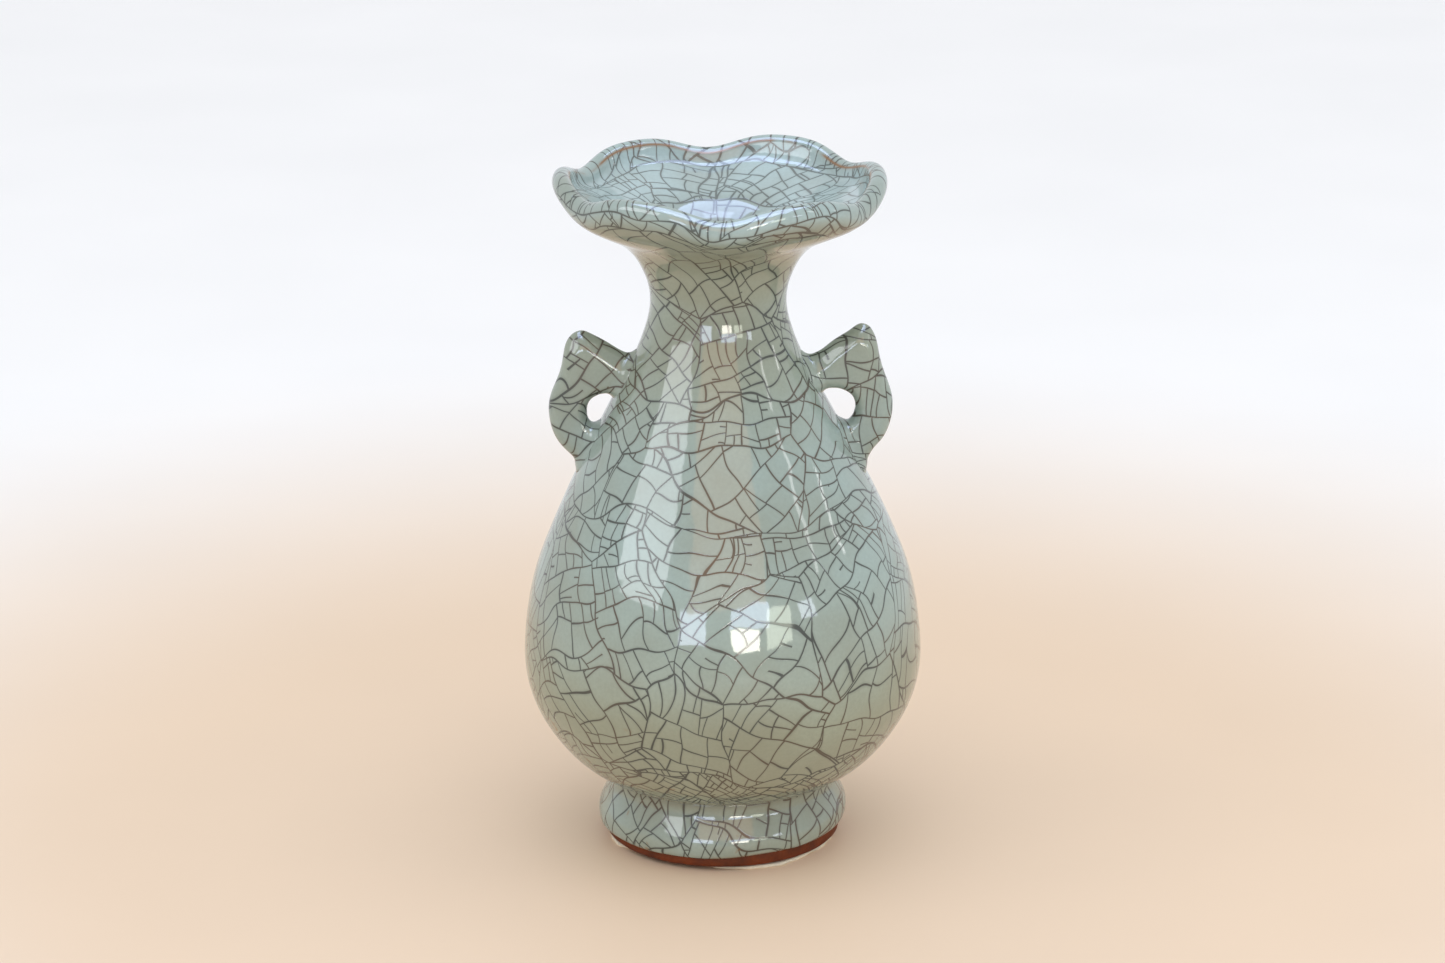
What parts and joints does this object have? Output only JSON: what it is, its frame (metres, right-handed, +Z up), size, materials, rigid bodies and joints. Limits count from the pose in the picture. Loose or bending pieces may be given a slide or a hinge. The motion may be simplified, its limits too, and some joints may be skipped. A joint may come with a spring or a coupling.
{
  "type": "ceramic bud vase",
  "caption": "Pear-shaped crackle-glazed stoneware vase with a lobed dish mouth, pierced ear handles, a flared foot ring with a bare edge and a thin base pad",
  "frame": {"origin": "middle of the resting face, under the pad, on the axis of the pot", "axes": "+Z up along the pot's axis, +X to the right-hand handle, -Y to the front"},
  "size_m": [0.1098, 0.1098, 0.19],
  "materials": {
    "celadon_glaze": "glossy grey-green celadon glaze with a net of dark brown crackle lines",
    "bare_stoneware": "bare iron-rich stoneware, matt rust brown",
    "cream_pad": "matt cream pulp board, hand cut"
  },
  "bodies": {
    "root": {"belly_bowl": "celadon_glaze", "shoulder_neck": "celadon_glaze", "flower_mouth": "celadon_glaze", "foot_ring": "bare_stoneware", "handle_left": "celadon_glaze", "handle_right": "celadon_glaze", "base_pad": "cream_pad"}
  },
  "joints": []
}
